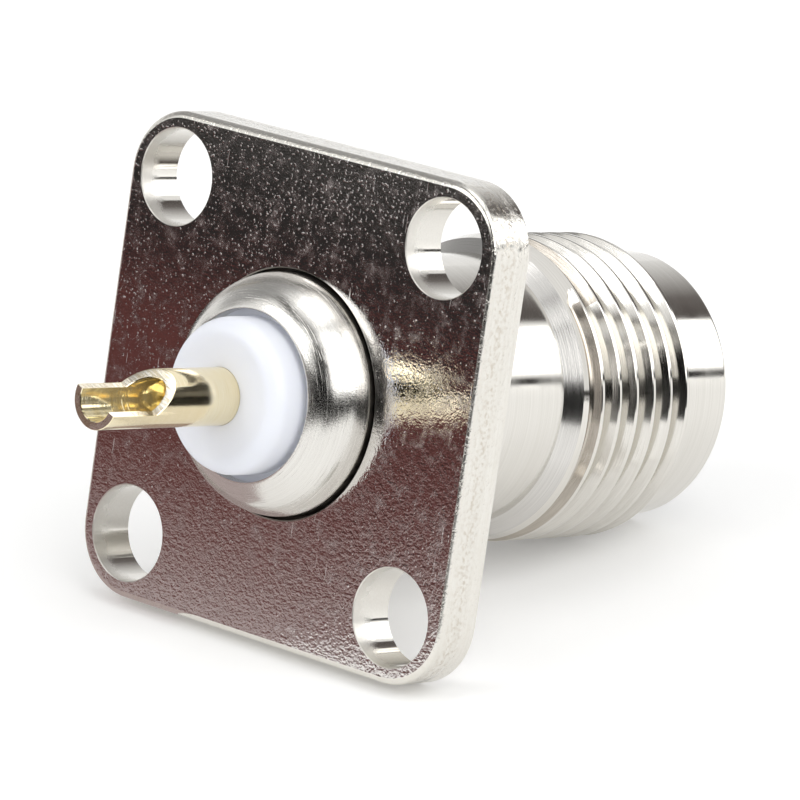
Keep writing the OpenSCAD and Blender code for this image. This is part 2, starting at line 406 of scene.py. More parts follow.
# %% Build the plate
RIM, BORE, GAP = 1, 2, 3
RELIEF_EDGE_R, RELIEF_R, RELIEF_DEPTH, BOSS_HOLE_R = 4.36, 4.32, 0.4, 4.22
relief = [(0, RELIEF_EDGE_R), (HOLE_BEVEL, RELIEF_R), (RELIEF_DEPTH, RELIEF_R)]
relief += [(RELIEF_DEPTH, BOSS_HOLE_R), (PLATE_T, BOSS_HOLE_R)]
plate_bm = bmesh.new()
rim_loops = [rim_loop(plate_bm, *level) for level in rim_levels()]
bridge(plate_bm, rim_loops, RIM)
rear, front = [rim_loops[0]], [rim_loops[-1]]
for x in (-HOLE_AT, HOLE_AT):
    for z in (-HOLE_AT, HOLE_AT):
        loops = round_loops(plate_bm, x, z, hole_levels())
        bridge(plate_bm, loops, BORE)
        rear.append(loops[0])
        front.append(loops[-1])
loops = round_loops(plate_bm, 0, 0, relief, 240)
bridge(plate_bm, loops[:2], BORE)
# The relief's wall takes the gap finish, whose dark colour is painted shade
bridge(plate_bm, loops[1:], GAP)
flats = flat_fill(plate_bm, rear + [loops[0]]) + flat_fill(plate_bm, front + [loops[-1]])
plate = settle("flange_plate_stamped", plate_bm, "flange_plate", flats=flats)

# %% [markdown]
# ## The insulators
# Both are turned from white fluoropolymer rod and meet at the contact's collar, which they trap. The rear
# one stands out of the lip with a soft edge, the front one ends in the sleeve around the socket. A plain
# turned section does for both. The rear one closes on the contact, because the photo shows no line there.

# %% Turn the two insulators
SPLIT, COLLAR_END, COLLAR_R = 2.027, 3.027, 1.5
CUP_R, SOCKET_R = 1.0, 1.05
FIT, CLOSE_FIT = 0.02, 0.004
SPIGOT_END, SPIGOT_R, SPIGOT_ROUND = -3.10, 2.7, 0.65
SLEEVE_END, SLEEVE_R, SLEEVE_BORE, FINGER_ROOT = 14.75, 2.42, 1.19, 11.09


def turned(name, section, node):
    """A plain turned piece: one section all the way round."""
    turn = even_turn(192)
    return settle(name, sweep([braced(section)] * len(turn), turn, True), node)


rear_section = eased([
    (SPIGOT_END, CUP_R + CLOSE_FIT, 0.008), (SPIGOT_END, SPIGOT_R, SPIGOT_ROUND), (LIP_FRONT, SPIGOT_R, 0.02),
    (LIP_FRONT, SEAT_R - FIT, 0.02), (SPLIT, SEAT_R - FIT, 0.02), (SPLIT, CUP_R + CLOSE_FIT, 0.008),
], 10)
rear_white = turned("rear_insulator_turned", rear_section, "rear_insulator")
front_section = eased([
    (SPLIT, COLLAR_R + FIT, 0.02), (SPLIT, SEAT_R - FIT, 0.02), (RIB_BACK, SEAT_R - FIT, 0.02),
    (RIB_BACK, RIB_R - FIT, 0.02), (MOUTH_FLOOR, RIB_R - FIT, 0.02), (MOUTH_FLOOR, SLEEVE_R, 0.05),
    (SLEEVE_END, SLEEVE_R, 0.14), (SLEEVE_END, SLEEVE_BORE, 0.05), (FINGER_ROOT, SLEEVE_BORE, 0.02),
    (FINGER_ROOT, SOCKET_R + FIT, 0.02), (COLLAR_END, SOCKET_R + FIT, 0.02),
    (COLLAR_END, COLLAR_R + FIT, 0.02),
], 4)
front_white = turned("front_insulator_turned", front_section, "front_insulator")

# %% [markdown]
# ## The contact
# The contact is turned too, but its cup is milled open: half of it goes at the end, and a slope of 45
# degrees runs from there to the outside. Column by column that is only a different end place: on the open
# side a point at radius r ends where the slope passes, on the closed side it runs on to the tip.

# %% Sizes of the contact
CUP_BORE, CUP_TIP, CUP_FLOOR, CUP_CONE = 0.71, -8.98, -4.58, 0.427
SLOPE_START, CUP_OPENS = -6.93, math.radians(68.6)
SOCKET_TIP, SOCKET_BORE, SOCKET_FLOOR, SOCKET_CONE = 14.69, 0.68, 10.09, 0.41
SHANK_FROM, SHANK_RUN, SHANK_STEPS, SOCKET_BRACE = -5.9, 3.9, 4, 10.9
BURR, COLLAR_EDGE, TIP_RUN = 0.025, 0.04, 0.185


def cup_column(opening, is_open):
    """The contact's points at one angle from the opening's middle, from one drill cone to the other."""
    rise = max(0.0, math.cos(opening))

    def slope(r):
        return SLOPE_START + r * rise

    def end(r):
        return slope(r) if is_open else CUP_TIP

    bore = [(CUP_FLOOR + CUP_CONE, 0), (CUP_FLOOR, CUP_BORE), (slope(CUP_BORE) + BURR, CUP_BORE)]
    bore += [(end(CUP_BORE) + BURR, CUP_BORE), (end(CUP_BORE + BURR), CUP_BORE + BURR)]
    outside = [(end(CUP_R - BURR), CUP_R - BURR), (end(CUP_R) + BURR, CUP_R), (slope(CUP_R) + BURR, CUP_R)]
    shank = [(SHANK_FROM + SHANK_RUN * i / SHANK_STEPS, CUP_R) for i in range(1, SHANK_STEPS + 1)]
    collar = [(SPLIT, CUP_R), (SPLIT, COLLAR_R - COLLAR_EDGE), (SPLIT + COLLAR_EDGE, COLLAR_R)]
    collar += [(COLLAR_END - COLLAR_EDGE, COLLAR_R), (COLLAR_END, COLLAR_R - COLLAR_EDGE)]
    socket = [(COLLAR_END, SOCKET_R), (SOCKET_BRACE, SOCKET_R), (SOCKET_TIP - TIP_RUN, SOCKET_R)]
    socket += [(SOCKET_TIP - 0.05, SOCKET_R - 0.08), (SOCKET_TIP, SOCKET_R - 0.15)]
    inside = [(SOCKET_TIP, SOCKET_BORE + 0.17), (SOCKET_TIP - TIP_RUN, SOCKET_BORE)]
    inside += [(SOCKET_FLOOR, SOCKET_BORE), (SOCKET_FLOOR - SOCKET_CONE, 0)]
    return bore + outside + shank + collar + socket + inside


print("points along the contact:", len(cup_column(0, True)))

# %% Turn the contact and mill its cup
QUARTER = 48
opening = [math.pi / 2 * i / QUARTER for i in range(-QUARTER, QUARTER + 1)]
closed = [math.pi / 2 + math.pi / 2 * i / QUARTER for i in range(2 * QUARTER + 1)]
contact_columns = [cup_column(a, True) for a in opening] + [cup_column(a, False) for a in closed]
contact_columns.append(cup_column(opening[0], True))
contact_angles = [CUP_OPENS + a for a in opening + closed + [opening[0] + 2 * math.pi]]
contact_bm = sweep(contact_columns, contact_angles, False)
contact = settle("solder_cup_contact", contact_bm, "centre_contact")

# %% [markdown]
# ## Slots of the socket
# In front, two crossed saw cuts part the socket into four spring fingers. A saw cut is what a Boolean
# modifier is good for: two thin blades are taken away and the result is kept as the mesh.

# %% Saw the slots
SLOT_W, SLOT_RUN, BLADE_W = 0.25, 4.6, 4.2


def saw_blade(turn):
    """A thin block across the socket, turned about the axis by an angle in degrees."""
    bm = bmesh.new()
    bmesh.ops.create_cube(bm, size=1)
    bmesh.ops.scale(bm, vec=at(BLADE_W, SLOT_RUN, SLOT_W), verts=bm.verts)
    bmesh.ops.rotate(bm, matrix=Matrix.Rotation(math.radians(turn), 3, "Y"), verts=bm.verts)
    bmesh.ops.translate(bm, vec=at(0, FINGER_ROOT + SLOT_RUN / 2, 0), verts=bm.verts)
    mesh = bpy.data.meshes.new("blade")
    bm.to_mesh(mesh)
    bm.free()
    blade = bpy.data.objects.new("blade", mesh)
    scene.collection.objects.link(blade)
    return blade


def sawn(piece, blades):
    """Takes the blades away from a piece and keeps the result as its mesh."""
    for blade in blades:
        cut = piece.modifiers.new("saw", "BOOLEAN")
        cut.operation, cut.solver, cut.object = "DIFFERENCE", "EXACT", blade
    depsgraph = bpy.context.evaluated_depsgraph_get()
    mesh = bpy.data.meshes.new_from_object(piece.evaluated_get(depsgraph))
    piece.modifiers.clear()
    piece.data = mesh
    for blade in blades:
        bpy.data.objects.remove(blade)


sawn(contact, [saw_blade(turn) for turn in (45, 135)])
contact.data.set_sharp_from_angle(angle=math.radians(CRISP))
print("contact after sawing:", len(contact.data.polygons), "faces")

# %% [markdown]
# ## The camera
# The camera stands where the photographer stood: behind and to the right, a little above, about 22 cm
# away with a long lens. Its place and roll came from fitting the plate's corners, its holes and the
# barrel.

# %% Place the camera
CAMERA_YAW, CAMERA_LIFT, CAMERA_ROLL = 41.5726, 9.2398, 8.2131
CAMERA_AWAY, CAMERA_RIGHT, CAMERA_DOWN, CAMERA_AHEAD = 220, 2.8551, 0.2465, 1.778
LENS = 287.68
yaw, lift, roll = (math.radians(a) for a in (CAMERA_YAW, CAMERA_LIFT, CAMERA_ROLL))
away = Vector((math.sin(yaw) * math.cos(lift), -math.cos(yaw) * math.cos(lift), math.sin(lift)))
right = Vector((math.cos(yaw), math.sin(yaw), 0))
up = away.cross(right)
side = math.cos(roll) * right + math.sin(roll) * up
top = -math.sin(roll) * right + math.cos(roll) * up
camera_data = bpy.data.cameras.new("camera")
camera_data.lens = LENS
camera_data.clip_start, camera_data.clip_end = 0.01, 5
camera = bpy.data.objects.new("camera", camera_data)
scene.collection.objects.link(camera)
stand = away * CAMERA_AWAY + side * CAMERA_RIGHT - top * CAMERA_DOWN + Vector((0, CAMERA_AHEAD, 0))
camera.matrix_world = Matrix.Translation(stand * MM) @ Matrix((side, top, away)).transposed().to_4x4()
scene.camera = camera
print("camera stands", round(stand.length), "mm from the plate")

# %% [markdown]
# ## Nodes in plain words
# A finish is a small graph of nodes. The next helpers start a finish, add a node with its settings and
# feed an output to the shader. An output knows its graph, so most helpers need no word about it. Numbers
# that hold for a whole piece are set on the shader's own sockets.

# %% Helpers for nodes


def add(tree, kind, inputs=None, **settings):
    """A node with settings and inputs; an input is a number, a tuple or another node's output."""
    made = tree.nodes.new(kind)
    for key, value in settings.items():
        setattr(made, key, value)
    for key, value in (inputs or {}).items():
        if isinstance(value, bpy.types.NodeSocket):
            tree.links.new(value, made.inputs[key])
        else:
            made.inputs[key].default_value = value
    return made


def place_mm(tree):
    """The place on the piece in millimetres."""
    here = add(tree, "ShaderNodeTexCoord").outputs["Object"]
    return add(tree, "ShaderNodeVectorMath", {0: here, "Scale": 1 / MM}, operation="SCALE").outputs[0]


def new_finish(name, colour, metallic, roughness):
    """A material, its shader, which starts from three plain numbers, and the place on the piece."""
    material = bpy.data.materials.new(name)
    material.use_nodes = True
    shader = material.node_tree.nodes["Principled BSDF"]
    shader.inputs["Base Color"].default_value = (*colour, 1)
    shader.inputs["Metallic"].default_value = metallic
    shader.inputs["Roughness"].default_value = roughness
    return material, shader, place_mm(material.node_tree)


def feed(shader, socket, value):
    """Leads an output to one of the shader's sockets."""
    shader.id_data.links.new(value, shader.inputs[socket])


def calc(operation, a, b=0.0):
    """One step of arithmetic on an output and a number or another output."""
    return add(a.id_data, "ShaderNodeMath", {0: a, 1: b}, operation=operation).outputs[0]


def times(a, b):
    """An output times a number or another output."""
    return calc("MULTIPLY", a, b)


print("node helpers ready")

# %% [markdown]
# ## Places and patterns
# Every pattern is made from the place on the piece, in millimetres, so that its grain has a true size.
# For turned pieces the place is bent about the axis first, so that the noise runs round it as lathe marks
# do.

# %% Helpers for patterns


def axes(place):
    """A place as three numbers: to the right, along the axis and up."""
    return add(place.id_data, "ShaderNodeSeparateXYZ", {0: place}).outputs


def radius(place):
    """How far a place lies from the axis."""
    x, _, z = axes(place)
    return calc("SQRT", calc("ADD", times(x, x), times(z, z)))


def lathe_place(place, along, across, around):
    """A place that runs round the axis: along Y, out from it, and slowly with the angle."""
    x, y, z = axes(place)
    angle = calc("ARCTAN2", z, x)
    parts = {0: times(y, along), 1: times(radius(place), across), 2: times(angle, around)}
    return add(place.id_data, "ShaderNodeCombineXYZ", parts).outputs[0]


def stretched(place, scale, turn=(0, 0, 0)):
    """The place, turned and stretched, for marks that run one way."""
    inputs = {"Vector": place, "Scale": scale, "Rotation": turn}
    return add(place.id_data, "ShaderNodeMapping", inputs).outputs[0]


def noise(place, scale, detail=2.0, rough=0.5):
    """Soft noise, from 0 to 1, with a number of lumps to the millimetre."""
    inputs = {"Vector": place, "Scale": scale, "Detail": detail, "Roughness": rough}
    return add(place.id_data, "ShaderNodeTexNoise", inputs).outputs["Fac"]


print("pattern helpers ready")

# %% [markdown]
# ## From a pattern to a look
# A noise lies mostly between 0.3 and 0.7. The helpers stretch such a span to a range of roughness, mix
# two colours by it, or turn it into lumps. A lump is a few micrometres high, as on the real surface.

# %% Helpers for looks
SPREAD = (0.3, 0.7)


def between(value, low, high, to_low=0.0, to_high=1.0):
    """Stretches a value from one range to another, and holds it there."""
    inputs = {"Value": value, "From Min": low, "From Max": high, "To Min": to_low, "To Max": to_high}
    return add(value.id_data, "ShaderNodeMapRange", inputs).outputs["Result"]


def close_to(value, place, far, near):
    """1 where a value is near a place, and 0 where it is far from it."""
    return between(calc("ABSOLUTE", calc("SUBTRACT", value, place)), far, near)


def tint(mask, low, high):
    """A colour between two, by a mask; the first may be another node's output."""
    first = low if isinstance(low, bpy.types.NodeSocket) else (*low, 1)
    inputs = {0: mask, 6: first, 7: (*high, 1)}
    return add(mask.id_data, "ShaderNodeMix", inputs, data_type="RGBA").outputs[2]


def lumps(shader, *layers):
    """Bump in the shader's normal; each layer is a height with its depth in micrometres."""
    normal = None
    for height, depth in layers:
        inputs = {"Height": height, "Distance": depth * 1e-6, "Strength": 1.0}
        if normal is not None:
            inputs["Normal"] = normal
        normal = add(shader.id_data, "ShaderNodeBump", inputs).outputs["Normal"]
    feed(shader, "Normal", normal)


print("noise spread:", SPREAD)

# %% [markdown]
# ## Bright nickel on the barrel
# The barrel was turned, polished a little and nickel plated. The plating is bright, but the tool's fine
# rings show through it as streaks round the axis, and handling leaves faint dull patches. The grooves of
# the thread are painted darker towards their root, as painted shade. The bevel behind the thread kept
# more of the tool's marks and looks streaky. The first turn of the groove, where the tool ran out, is
# streaky too and painted a dark brown, as painted shade.

# %% The barrel's finish
# Between these radii the thread's groove is painted darker, as painted shade
GROOVE_PALE_R, GROOVE_DARK_R, THREAD_FADE = 5.3, 5.0, 0.05


def barrel_finish():
    material, shader, place = new_finish("bright_nickel_barrel", (0.72, 0.70, 0.655), 1.0, 0.1)
    rings = noise(lathe_place(place, 26, 26, 0.7), 1.0, 3.0, 0.6)
    patches = noise(place, 0.55, 3.0)
    fine = noise(lathe_place(place, 90, 90, 2.0), 1.0, 2.0)
    _, along, _ = axes(place)
    after = between(along, CONE_START, CONE_START + THREAD_FADE)
    before = between(along, THREAD_END, THREAD_END - THREAD_FADE)
    # The groove is painted darker towards its root: painted shade
    sunk = between(radius(place), GROOVE_PALE_R, GROOVE_DARK_R)
    groove_shade = times(times(sunk, after), before)
    shine = calc("SUBTRACT", between(rings, *SPREAD), times(groove_shade, 0.8))
    feed(shader, "Roughness", between(patches, 0.35, 0.7, 0.07, 0.17))
    feed(shader, "Base Color", tint(shine, (0.66, 0.638, 0.59), (0.75, 0.73, 0.69)))
    lumps(shader, (rings, 0.7), (fine, 0.12))
    return material


def tool_finish(name, dark, pale, depth):
    """Turned nickel that kept the streaks of the tool, darker and rougher than the rest; on the run-out the
    dark brown is painted shade.
    """
    material, shader, place = new_finish(name, pale, 1.0, 0.14)
    streaks = noise(lathe_place(place, 30, 30, 1.1), 1.0, 4.0, 0.65)
    feed(shader, "Base Color", tint(between(streaks, *SPREAD), dark, pale))
    feed(shader, "Roughness", between(streaks, *SPREAD, 0.2, 0.1))
    lumps(shader, (streaks, depth))
    return material


nickel_barrel = barrel_finish()
streaky_bevel = tool_finish("streaky_nickel_bevel", (0.56, 0.545, 0.52), (0.70, 0.685, 0.66), 1.6)
# The run-out's dark brown colour is painted shade in the first turn of the groove
run_out_shade = tool_finish("nickel_run_out_painted_shade", (0.40, 0.36, 0.31), (0.56, 0.52, 0.465), 2.0)
print("made", nickel_barrel.name, "and", streaky_bevel.name, "and", run_out_shade.name)

# %% [markdown]
# ## Satin nickel on the rolled boss
# The boss was pressed over by a tool after turning. It is duller than the barrel: fine grain, circles
# from the tool and a few scratches round the lip.

# %% The boss's finish


def boss_finish():
    material, shader, place = new_finish("satin_nickel_boss", (0.72, 0.70, 0.66), 1.0, 0.2)
    rings = noise(lathe_place(place, 14, 14, 0.9), 1.0, 4.0, 0.65)
    grain = noise(place, 16, 3.0, 0.6)
    scuffs = noise(lathe_place(place, 30, 30, 2.2), 1.0, 2.0)
    feed(shader, "Roughness", between(grain, 0.3, 0.75, 0.13, 0.27))
    feed(shader, "Base Color", tint(between(rings, *SPREAD), (0.67, 0.65, 0.61), (0.76, 0.745, 0.71)))
    lumps(shader, (rings, 1.2), (grain, 3.0), (between(scuffs, 0.6, 0.7), -2.4))
    return material


nickel_boss = boss_finish()
print("made", nickel_boss.name)

# %% [markdown]
# ## Which finish goes where
# The body is one piece of metal with several looks, so its faces are sorted by their place: along the
# axis, out from it and round it. The run-out follows the helix, so its place along the axis moves with
# the angle.

# %% Give the body its finishes
# The last finish is the painted shade of the gap behind the plate
BARREL, BOSS, BEVELLED, RUN_OUT, GAP_SHADED = range(5)
BOSS_STOPS = 0.5
RUN_OUT_FROM, RUN_OUT_TO, CREST_KEPT = -0.02, 0.4, 0.03


def body_zone(y, r, angle):
    """The finish of a face of the body by its place."""
    if y < BOSS_STOPS:
        return BOSS
    if NECK_END < y < CONE_START and r > NECK_R:
        return BEVELLED
    share = (RUN_OUT_TURN - angle) / (2 * math.pi) % 1
    in_first_turn = RUN_OUT_FROM < y - FIRST_GROOVE - share * PITCH < RUN_OUT_TO
    return RUN_OUT if in_first_turn and NECK_R < r < THREAD_R - CREST_KEPT else BARREL


for made in (nickel_barrel, nickel_boss, streaky_bevel, run_out_shade):
    body.data.materials.append(made)
for face in body.data.polygons:
    x, y, z = face.center / MM
    face.material_index = body_zone(y, math.hypot(x, z), math.atan2(z, x))
print("boss faces:", sum(face.material_index == BOSS for face in body.data.polygons))

# %% [markdown]
# ## Plated sheet
# The flat of the plate is a mirror with the skin of an orange: the sheet's own roughness shows through
# the plating as tiny lumps, each of which catches another part of the room. They crowd near the top, with
# cloudy dull patches between them, and a coarser grain covers the lower half and the right side. On top
# come scratches from other parts in the tumbling drum.

# %% The plate's flat
SCRATCH_WAYS = ((0.5, 4.5, 0.8), (1.9, 3.6, 0.86), (2.7, 5.0, 0.84))


def scratch_layer(place, turn, scale, keep):
    """Short thin lines that run one way, thin enough to read as scratches."""
    run = stretched(place, (scale, 1.0, scale * 0.06), (0, turn, 0))
    inputs = {"Vector": run, "Scale": 1.0, "Randomness": 1.0}
    spots = add(run.id_data, "ShaderNodeTexVoronoi", inputs, feature="F1").outputs
    chance = add(run.id_data, "ShaderNodeSeparateColor", {0: spots["Color"]}).outputs[0]
    chosen = calc("GREATER_THAN", chance, keep)
    return times(between(spots["Distance"], 0.10, 0.03), chosen)


def plate_finish():
    material, shader, place = new_finish("plated_sheet", (0.72, 0.70, 0.675), 1.0, 0.08)
    across, _, height = axes(place)
    peel = noise(place, 3.4, 2.0, 0.6)
    skin = noise(place, 13.0, 1.0)
    grain = noise(place, 6.5, 2.0, 0.55)
    cloud = noise(place, 1.7, 4.0, 0.65)
    # Specks crowd at the top and thin out to the right
    crowd = calc("ADD", noise(place, 0.35, 1.0), between(height, -2.0, 8.0, -0.15, 0.3))
    crowd = calc("SUBTRACT", crowd, between(across, 1.0, 6.0, 0.0, 0.2))
    crowded = calc("ADD", noise(place, 9.0, 1.0), times(crowd, 0.14))
    specks = between(crowded, 0.72, 0.89)
    lines = [scratch_layer(place, *way) for way in SCRATCH_WAYS]
    marks = calc("MAXIMUM", calc("MAXIMUM", lines[0], lines[1]), lines[2])
    at_right = times(between(across, 0.0, 5.0), between(height, 5.0, 0.0, 0.2, 0.8))
    below = between(height, 0.0, -5.0)
    coarse = times(grain, calc("ADD", below, at_right))
    feed(shader, "Roughness", between(cloud, 0.45, 0.72, 0.06, 0.24))
    feed(shader, "Base Color", tint(between(peel, *SPREAD), (0.68, 0.655, 0.63), (0.76, 0.74, 0.72)))
    lumps(shader, (peel, 2.0), (skin, 1.4), (coarse, 7.0), (specks, 5.0), (marks, -4.0))
    return material


plated_sheet = plate_finish()
print("made", plated_sheet.name)

# %% [markdown]
# ## The plate's edge and holes
# The cut edge is duller and paler than the flat. Where the punch left it, fine lines run along the edge,
# and small brown pits show where the sheet tore. The holes have the same wall, smoother at the far side.
# The narrow gap round the boss is painted dark, as painted shade.

# %% The edge's finish
BREAK_AT = 0.75


def cut_edge_finish():
    material, shader, place = new_finish("plated_cut_edge", (0.75, 0.73, 0.675), 1.0, 0.25)
    _, depth, height = axes(place)
    layers = noise(stretched(place, (0.35, 9.0, 0.35)), 1.0, 3.0, 0.6)
    pits = noise(place, 6.5, 3.0, 0.6)
    # Only the upper edge is torn deeply
    torn = times(layers, between(height, 8.0, 8.5))
    # Brown pits run along the middle, where the sheet broke
    middle = close_to(depth, BREAK_AT, 0.5, 0.1)
    brown = times(between(pits, 0.47, 0.72), calc("ADD", middle, 0.25))
    pale = tint(between(layers, 0.25, 0.7), (0.70, 0.675, 0.62), (0.78, 0.76, 0.715))
    feed(shader, "Roughness", between(layers, *SPREAD, 0.11, 0.24))
    feed(shader, "Base Color", tint(brown, pale, (0.61, 0.56, 0.485)))
    lumps(shader, (layers, 2.5), (torn, 14.0), (between(pits, 0.52, 0.72), -7.0))
    return material


def hole_finish():
    material, shader, place = new_finish("plated_hole_wall", (0.74, 0.72, 0.67), 1.0, 0.15)
    _, depth, _ = axes(place)
    uneven = calc("ADD", depth, times(noise(place, 2.5, 3.0), 0.9))
    torn = between(uneven, 0.75, 1.35, 1.0, 0.0)
    grain = noise(place, 14.0, 2.0)
    feed(shader, "Roughness", between(torn, 0.0, 1.0, 0.08, 0.36))
    feed(shader, "Base Color", tint(grain, (0.70, 0.675, 0.625), (0.78, 0.76, 0.715)))
    lumps(shader, (times(grain, torn), 5.0))
    return material


def gap_shade_finish():
    # The gap's near black colour is painted shade, mottled a little by noise
    material, shader, place = new_finish("gap_painted_shade", (0.10, 0.09, 0.08), 1.0, 0.5)
    shade_mottle = noise(place, 3.0, 3.0)
    feed(shader, "Base Color", tint(shade_mottle, (0.05, 0.045, 0.04), (0.16, 0.145, 0.125)))
    feed(shader, "Roughness", between(shade_mottle, *SPREAD, 0.4, 0.65))
    return material


cut_edge, hole_wall, gap_painted_shade = cut_edge_finish(), hole_finish(), gap_shade_finish()
print("made", cut_edge.name, "and", hole_wall.name, "and", gap_painted_shade.name)

# %% Give the plate its finishes
GAP_FROM, GAP_SKIN = 0.03, 0.05
for made in (plated_sheet, cut_edge, hole_wall, gap_painted_shade):
    plate.data.materials.append(made)
# The side of the boss that faces the gap gets the same painted shade
body.data.materials.append(gap_painted_shade)
for face in body.data.polygons:
    in_gap = GAP_FROM * MM < face.center.y < NECK_START * MM
    if in_gap and face.center.xz.length > (BOSS_R - GAP_SKIN) * MM:
        face.material_index = GAP_SHADED
print("plate finishes:", [m.name for m in plate.data.materials])

# %% [markdown]
# ## White fluoropolymer
# The insulators are waxy and a little see-through, so light goes a short way in. The tool leaves faint
# rings.

# %% The insulators' finish


def white_finish():
    material, shader, place = new_finish("turned_white_fluoropolymer", (0.87, 0.895, 0.98), 0.0, 0.36)
    rings = noise(lathe_place(place, 9, 9, 0.4), 1.0, 3.0)
    cloud = noise(place, 0.8, 2.0)
    feed(shader, "Base Color", tint(cloud, (0.855, 0.882, 0.97), (0.885, 0.908, 0.99)))
    feed(shader, "Roughness", between(rings, *SPREAD, 0.3, 0.42))
    shader.inputs["Subsurface Weight"].default_value = 0.25
    shader.inputs["Subsurface Radius"].default_value = (0.0006, 0.0006, 0.0007)
    shader.inputs["Subsurface Scale"].default_value = 1.0
    lumps(shader, (rings, 1.2))
    return material


white = white_finish()
for piece in (rear_white, front_white):
    piece.data.materials.append(white)
print("made", white.name)

# %% [markdown]
# ## Pale gold
# The contact is turned brass with a thin gold flash: pale and champagne coloured, deeper inside the cup
# where the light bounces. The milled faces keep the cutter's fine hatch, and the drill left lines in the
# bore.

# %% The contact's finishes
# The drill stopped twice on its way in and left a line each time
DRILL_STOPS = (-7.0, -6.76)


def gold_finish():
    material, shader, place = new_finish("pale_gold_turned", (0.91, 0.81, 0.57), 1.0, 0.16)
    rings = noise(lathe_place(place, 22, 22, 1.1), 1.0, 3.0, 0.6)
    grain = noise(place, 20, 2.0)
    feed(shader, "Roughness", between(grain, 0.3, 0.75, 0.06, 0.15))
    feed(shader, "Base Color", tint(between(rings, *SPREAD), (0.87, 0.76, 0.50), (0.93, 0.84, 0.62)))
    lumps(shader, (rings, 0.5), (grain, 1.1))
    return material


def milled_gold_finish():
    material, shader, place = new_finish("pale_gold_milled", (0.96, 0.91, 0.77), 1.0, 0.24)
    hatch = noise(stretched(place, (2.0, 17.0, 2.0), (0.6, 0.3, 0.2)), 1.0, 2.0)
    shine = between(hatch, 0.35, 0.62)
    feed(shader, "Base Color", tint(shine, (0.76, 0.67, 0.50), (0.97, 0.93, 0.82)))
    lumps(shader, (hatch, 3.5))
    return material


def drilled_gold_finish():
    material, shader, place = new_finish("deep_gold_drilled", (0.97, 0.86, 0.52), 0.8, 0.2)
    rings = noise(lathe_place(place, 7, 3, 0.3), 1.0, 3.0, 0.6)
    _, along, _ = axes(place)
    stops = [close_to(along, y, 0.05, 0.01) for y in DRILL_STOPS]
    feed(shader, "Roughness", between(rings, *SPREAD, 0.05, 0.13))
    feed(shader, "Base Color", tint(between(rings, *SPREAD), (0.93, 0.79, 0.45), (0.99, 0.91, 0.64)))
    lumps(shader, (rings, 3.0), (calc("MAXIMUM", *stops), 9.0))
    return material


golds = [gold_finish(), milled_gold_finish(), drilled_gold_finish()]
print("made", [gold.name for gold in golds])

# %% Give the contact its finishes
TURNED, MILLED, DRILLED = range(3)
CUP_ZONE, HAIR = -4, 0.01
for gold in golds:
    contact.data.materials.append(gold)
for face in contact.data.polygons:
    radii = [(contact.data.vertices[v].co / MM).xz.length for v in face.vertices]
    behind = face.center.y < CUP_ZONE * MM
    milled = behind and all(CUP_BORE + HAIR < r < CUP_R - HAIR for r in radii)
    drilled = behind and max(radii) < CUP_BORE + HAIR
    face.material_index = MILLED if milled else DRILLED if drilled else TURNED
print("milled faces:", sum(face.material_index == MILLED for face in contact.data.polygons))

# %% [markdown]
# ## Table and tent
# A small shiny part is photographed on a white table in a white tent. The connector lies tilted: the
# lower edge of the plate and the rim of the nose touch the table. So the floor is a plane through those
# two edges. The table and the tent shine a little brighter in what is looked at than as lamps, so that
# the picture's ground comes out white.

# %% The table
TABLE_UP = Vector((0, -0.2310, 0.9730))
TABLE_FRONT = TABLE_UP.cross(Vector((1, 0, 0)))
TABLE_LOW, TABLE_REACH = -8.67, 3000
TABLE_POINT = at(0, PLATE_T, TABLE_LOW)


def on_table(angle, distance, height):
    """A point round the connector: 0 degrees is behind it, 90 to its right; the rest in millimetres."""
    a = math.radians(angle)
    flat = math.sin(a) * Vector((1, 0, 0)) - math.cos(a) * TABLE_FRONT
    return TABLE_POINT + (flat * distance + TABLE_UP * height) * MM


table_edge = [on_table(a, TABLE_REACH, 0) for a in range(0, 360, 5)]
table_mesh = bpy.data.meshes.new("table")
table_mesh.from_pydata(table_edge, [], [list(range(len(table_edge)))])
table = bpy.data.objects.new("table", table_mesh)
scene.collection.objects.link(table)
print("table tilts", round(math.degrees(math.acos(TABLE_UP.z)), 1), "degrees")

# %% The table's white and the tent
TENT_AS_LIGHT, TENT_AS_SEEN = 0.58, 1.0
# From 60 to 300 mm away the table's glow grows from 0.15 to 0.45
TABLE_GLOW = (60, 300, 0.15, 0.45)


def looked_at(tree):
    """1 for rays of the camera and of reflections, 0 for rays that gather light."""
    path = add(tree, "ShaderNodeLightPath").outputs
    bent = calc("MAXIMUM", path["Is Glossy Ray"], path["Is Transmission Ray"])
    return calc("MAXIMUM", path["Is Camera Ray"], bent)


table_white, table_shader, table_place = new_finish("table_white", (0.95, 0.95, 0.945), 0.0, 0.8)
table_shader.inputs["Specular IOR Level"].default_value = 0.0
table_shader.inputs["Emission Color"].default_value = (1, 1, 1, 1)
table_tree = table_shader.id_data
reach = add(table_tree, "ShaderNodeVectorMath", {0: table_place}, operation="LENGTH").outputs["Value"]
far_light = between(reach, *TABLE_GLOW)
feed(table_shader, "Emission Strength", times(looked_at(table_tree), far_light))
table_mesh.materials.append(table_white)
world = bpy.data.worlds.new("tent")
scene.world = world
world.use_nodes = True
tent = world.node_tree
tent_cloth = tent.nodes["Background"]
tent_cloth.inputs["Color"].default_value = (1, 1, 1, 1)
feed(tent_cloth, "Strength", between(looked_at(tent), 0, 1, TENT_AS_LIGHT, TENT_AS_SEEN))
print("tent:", TENT_AS_LIGHT, "as light,", TENT_AS_SEEN, "as seen")

# %% [markdown]
# ## Lamps
# The photo's bright and dark sides speak of a large soft lamp to the right and weaker ones behind, in
# front and above. Each is an area light that faces the connector.

# %% Soft lamps


